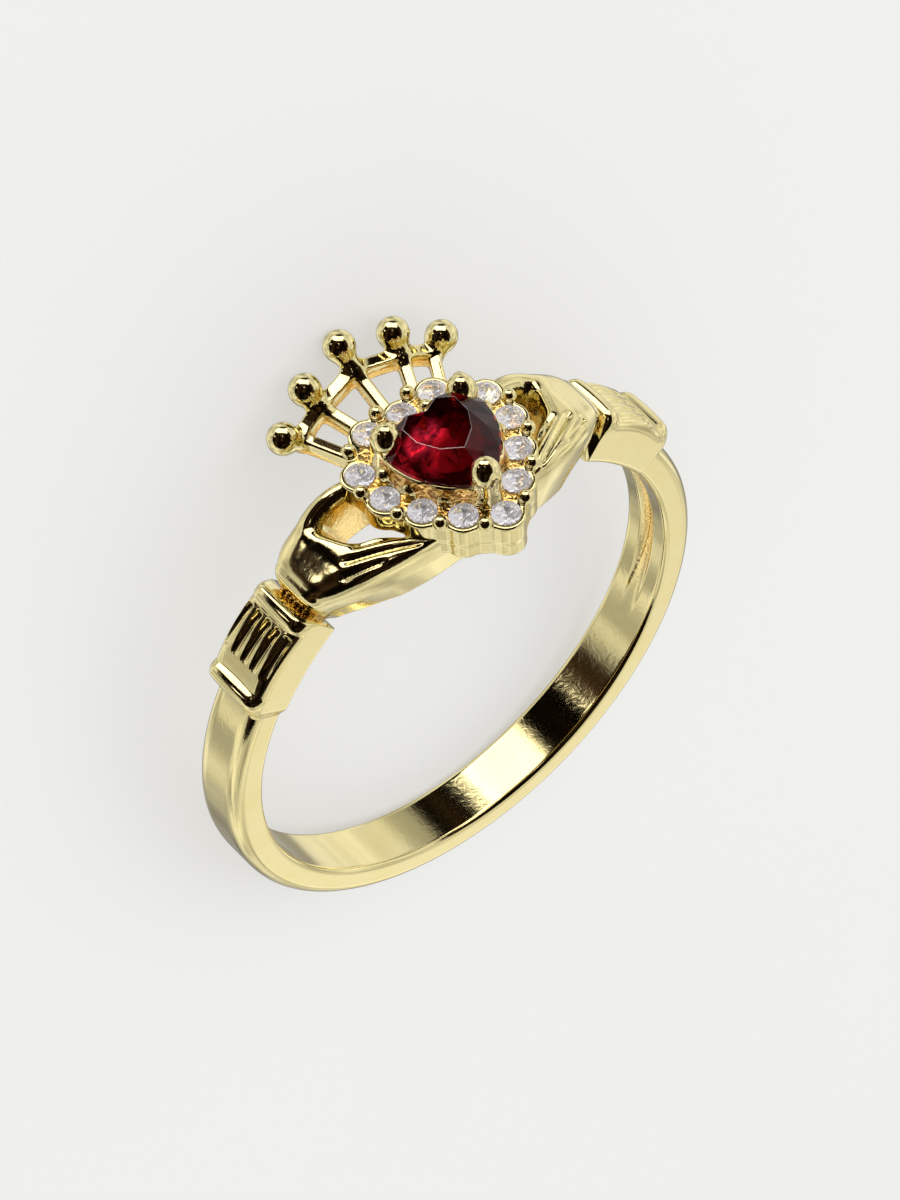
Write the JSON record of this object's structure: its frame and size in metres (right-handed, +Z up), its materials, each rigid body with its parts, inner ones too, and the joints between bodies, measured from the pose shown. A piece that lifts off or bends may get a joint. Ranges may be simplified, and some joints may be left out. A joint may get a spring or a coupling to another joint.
{
  "type": "claddagh ring",
  "caption": "Finger ring with hands holding a crowned heart-shaped red stone in a halo of small clear stones, on a slim rounded band with grooved cuffs.",
  "frame": {"origin": "centre of the finger hole", "axes": "The ring lies on its side with its crown downwards, as it rests by itself. +Z is up, +Y points from the head to the bottom of the band, and X is the mirror direction between the two hands."},
  "size_m": [0.0196, 0.0226, 0.0096],
  "materials": {
    "gold": "polished pale yellow gold",
    "red_stone": "faceted deep red",
    "clear_stone": "faceted clear"
  },
  "bodies": {
    "root": {"casting": "gold", "heart_stone": "red_stone", "halo_stone_1": "clear_stone", "halo_stone_2": "clear_stone", "halo_stone_3": "clear_stone", "halo_stone_4": "clear_stone", "halo_stone_5": "clear_stone", "halo_stone_6": "clear_stone", "halo_stone_7": "clear_stone", "halo_stone_8": "clear_stone", "halo_stone_9": "clear_stone", "halo_stone_10": "clear_stone", "halo_stone_11": "clear_stone", "halo_stone_12": "clear_stone"}
  },
  "joints": []
}
